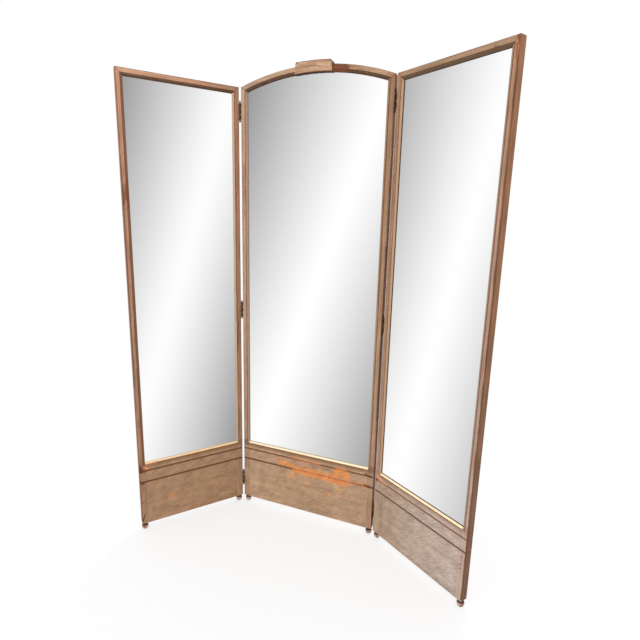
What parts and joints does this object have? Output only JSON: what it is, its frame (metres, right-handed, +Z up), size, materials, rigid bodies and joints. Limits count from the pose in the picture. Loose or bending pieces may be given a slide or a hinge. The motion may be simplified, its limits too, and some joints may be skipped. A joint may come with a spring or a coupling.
{
  "type": "three panel floor mirror",
  "caption": "Free-standing folding floor mirror: framed mirror panels hinged in a row, an arched centre panel with a crest block, grooved boards below the glass and ball feet.",
  "frame": {"origin": "on the floor under the middle of the footprint, with the wings folded forward as in the picture", "axes": "+Z up; -Y towards the viewer, square to the centre panel; +X to the right as seen from the front"},
  "size_m": [1.3378, 0.3902, 1.8984],
  "materials": {
    "limed_wood": "limed and rubbed paint over brown wood, satin",
    "softwood": "sawn and bare",
    "back_ply": "stained brown, dull",
    "mirror_plate": "silvered",
    "dark_brass": "blackened, worn brighter on the edges"
  },
  "bodies": {
    "centre_panel": {"centre_left_stile": "limed_wood", "centre_left_packing_strip": "softwood", "centre_left_foot": "limed_wood", "centre_right_stile": "limed_wood", "centre_right_packing_strip": "softwood", "centre_right_foot": "limed_wood", "centre_lower_rail": "limed_wood", "centre_middle_board": "limed_wood", "centre_apron_board": "limed_wood", "centre_board_batten": "softwood", "centre_mirror": "mirror_plate", "centre_back_panel": "back_ply", "centre_arched_rail": "limed_wood", "centre_crest_block": "limed_wood", "left_bottom_hinge_fixed_leaf": "dark_brass", "left_bottom_hinge_pin": "dark_brass", "left_middle_hinge_fixed_leaf": "dark_brass", "left_middle_hinge_pin": "dark_brass", "left_top_hinge_fixed_leaf": "dark_brass", "left_top_hinge_pin": "dark_brass", "right_bottom_hinge_fixed_leaf": "dark_brass", "right_bottom_hinge_pin": "dark_brass", "right_middle_hinge_fixed_leaf": "dark_brass", "right_middle_hinge_pin": "dark_brass", "right_top_hinge_fixed_leaf": "dark_brass", "right_top_hinge_pin": "dark_brass"},
    "left_wing": {"left_wing_outer_stile": "limed_wood", "left_wing_outer_packing_strip": "softwood", "left_wing_outer_foot": "limed_wood", "left_wing_hinge_stile": "limed_wood", "left_wing_hinge_packing_strip": "softwood", "left_wing_hinge_foot": "limed_wood", "left_wing_lower_rail": "limed_wood", "left_wing_middle_board": "limed_wood", "left_wing_apron_board": "limed_wood", "left_wing_board_batten": "softwood", "left_wing_mirror": "mirror_plate", "left_wing_back_panel": "back_ply", "left_wing_top_rail": "limed_wood", "left_bottom_hinge_moving_leaf": "dark_brass", "left_middle_hinge_moving_leaf": "dark_brass", "left_top_hinge_moving_leaf": "dark_brass"},
    "right_wing": {"right_wing_hinge_stile": "limed_wood", "right_wing_hinge_packing_strip": "softwood", "right_wing_hinge_foot": "limed_wood", "right_wing_outer_stile": "limed_wood", "right_wing_outer_packing_strip": "softwood", "right_wing_outer_foot": "limed_wood", "right_wing_lower_rail": "limed_wood", "right_wing_middle_board": "limed_wood", "right_wing_apron_board": "limed_wood", "right_wing_board_batten": "softwood", "right_wing_mirror": "mirror_plate", "right_wing_back_panel": "back_ply", "right_wing_top_rail": "limed_wood", "right_bottom_hinge_moving_leaf": "dark_brass", "right_middle_hinge_moving_leaf": "dark_brass", "right_top_hinge_moving_leaf": "dark_brass"}
  },
  "joints": [
    {"name": "left_wing_fold", "type": "hinge", "parent": "centre_panel", "child": "left_wing", "pos_m": [-0.3631, 0.16407, 0.9], "axis": [0, 0, 1], "range_deg": [-62.1, 127.9]},
    {"name": "right_wing_fold", "type": "hinge", "parent": "centre_panel", "child": "right_wing", "pos_m": [0.2656, 0.16407, 0.9], "axis": [0, 0, -1], "range_deg": [-42.4, 135.6]}
  ]
}
